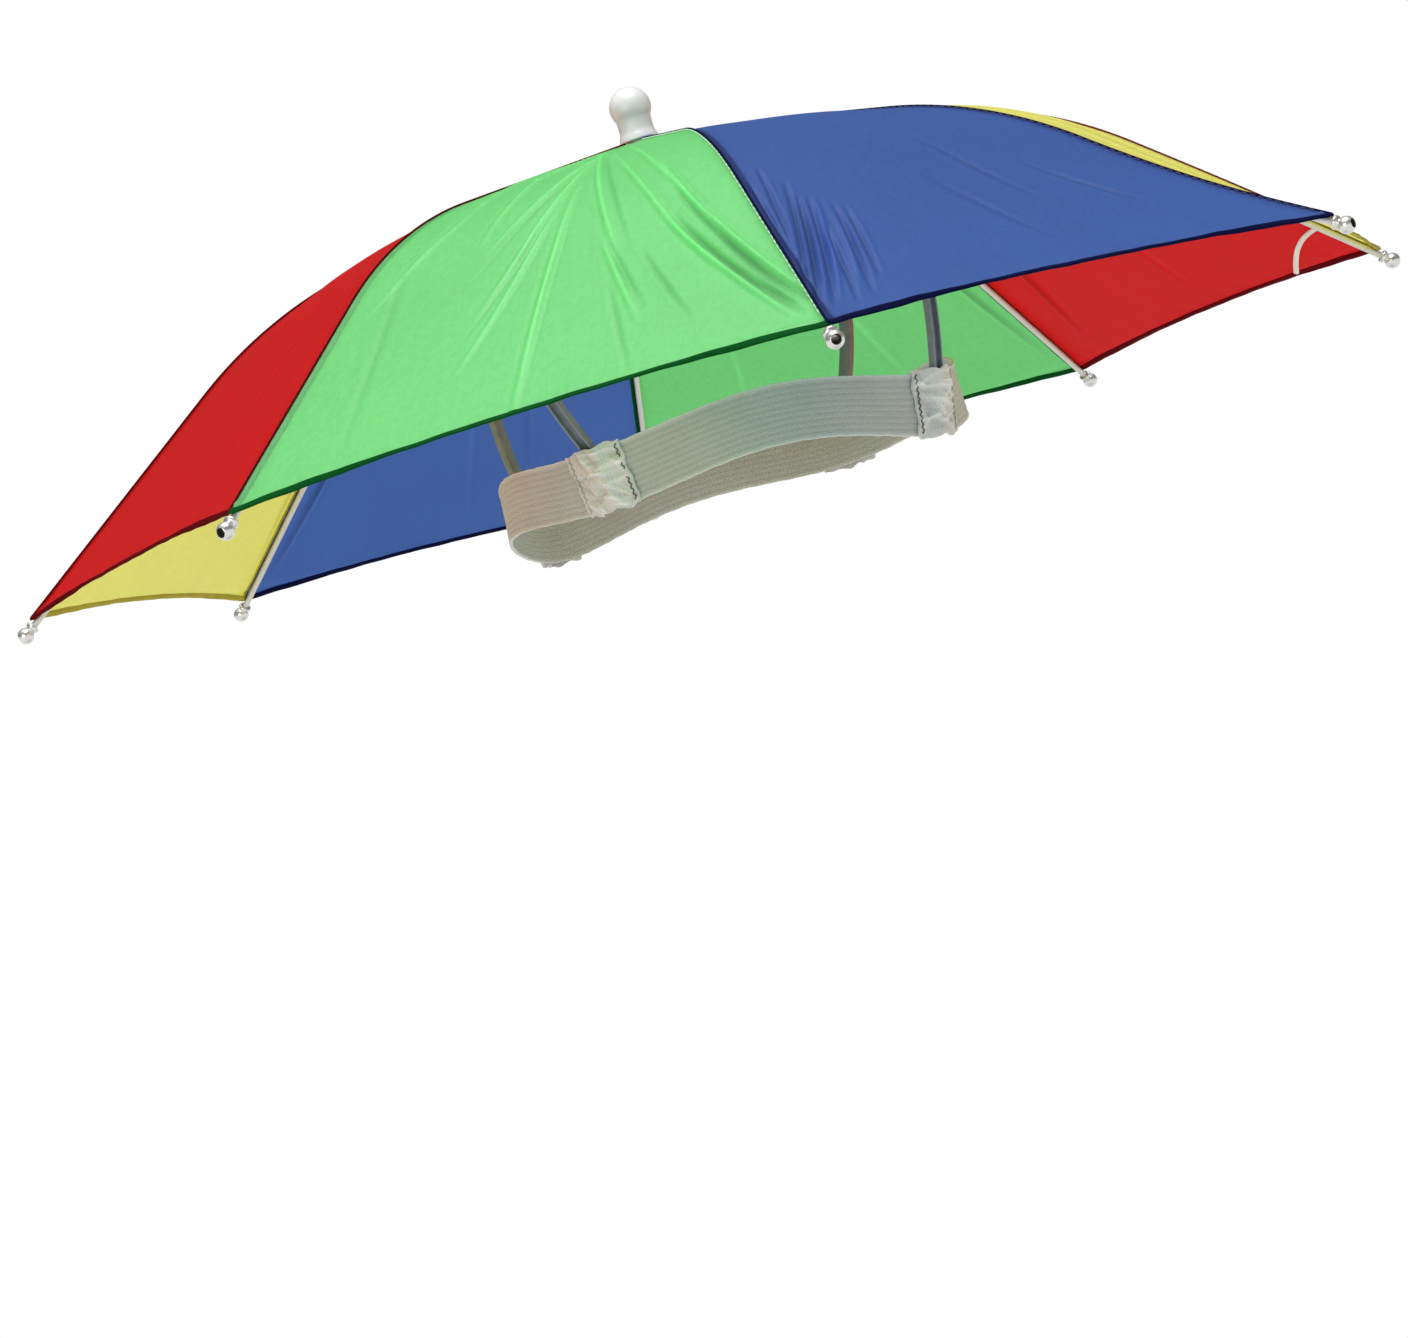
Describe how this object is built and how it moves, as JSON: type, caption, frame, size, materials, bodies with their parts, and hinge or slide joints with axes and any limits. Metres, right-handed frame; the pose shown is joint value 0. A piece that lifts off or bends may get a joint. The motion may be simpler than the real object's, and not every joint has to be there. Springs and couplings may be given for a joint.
{
  "type": "umbrella hat",
  "caption": "Wearable sun and rain hat: a multi-colour cloth umbrella canopy on spring ribs, carried over an elastic headband by bent legs.",
  "frame": {"origin": "centre of the elastic headband, level with the middle of its sides, which is where a head fills it", "axes": "+Z along the hat's axis towards the finial, -Y the wearer's front, -X the wearer's right"},
  "size_m": [0.536, 0.536, 0.1606],
  "materials": {
    "cloth_green": "thin satin nylon",
    "cloth_blue": "thin satin nylon",
    "cloth_yellow": "thin satin nylon",
    "cloth_red": "thin satin nylon",
    "white_elastic": "ribbed woven elastic",
    "leg_steel": "rolled strip, dull",
    "rib_wire": "drawn wire",
    "tip_metal": "plated, semi-gloss",
    "white_plastic": "moulded, semi-gloss"
  },
  "bodies": {
    "root": {"panel_left_back_green": "cloth_green", "panel_back_left_blue": "cloth_blue", "panel_back_right_yellow": "cloth_yellow", "panel_right_back_red": "cloth_red", "panel_right_front_green": "cloth_green", "panel_front_right_blue": "cloth_blue", "panel_front_left_yellow": "cloth_yellow", "panel_left_front_red": "cloth_red", "rib_left": "rib_wire", "rib_back_left": "rib_wire", "rib_back": "rib_wire", "rib_back_right": "rib_wire", "rib_right": "rib_wire", "rib_front_right": "rib_wire", "rib_front": "rib_wire", "rib_front_left": "rib_wire", "tip_left": "tip_metal", "tip_back_left": "tip_metal", "tip_back": "tip_metal", "tip_back_right": "tip_metal", "tip_right": "tip_metal", "tip_front_right": "tip_metal", "tip_front": "tip_metal", "tip_front_left": "tip_metal", "stretcher_left": "leg_steel", "stretcher_back_left": "leg_steel", "stretcher_back": "leg_steel", "stretcher_back_right": "leg_steel", "stretcher_right": "leg_steel", "stretcher_front_right": "leg_steel", "stretcher_front": "leg_steel", "stretcher_front_left": "leg_steel", "hub": "white_plastic", "finial": "white_plastic", "shaft": "leg_steel", "runner": "white_plastic", "leg_plate": "white_plastic", "leg_left": "leg_steel", "leg_back": "leg_steel", "leg_right": "leg_steel", "leg_front": "leg_steel", "pocket_left": "white_elastic", "pocket_back": "white_elastic", "pocket_right": "white_elastic", "pocket_front": "white_elastic", "headband": "white_elastic", "closure_tape": "white_elastic"}
  },
  "joints": []
}
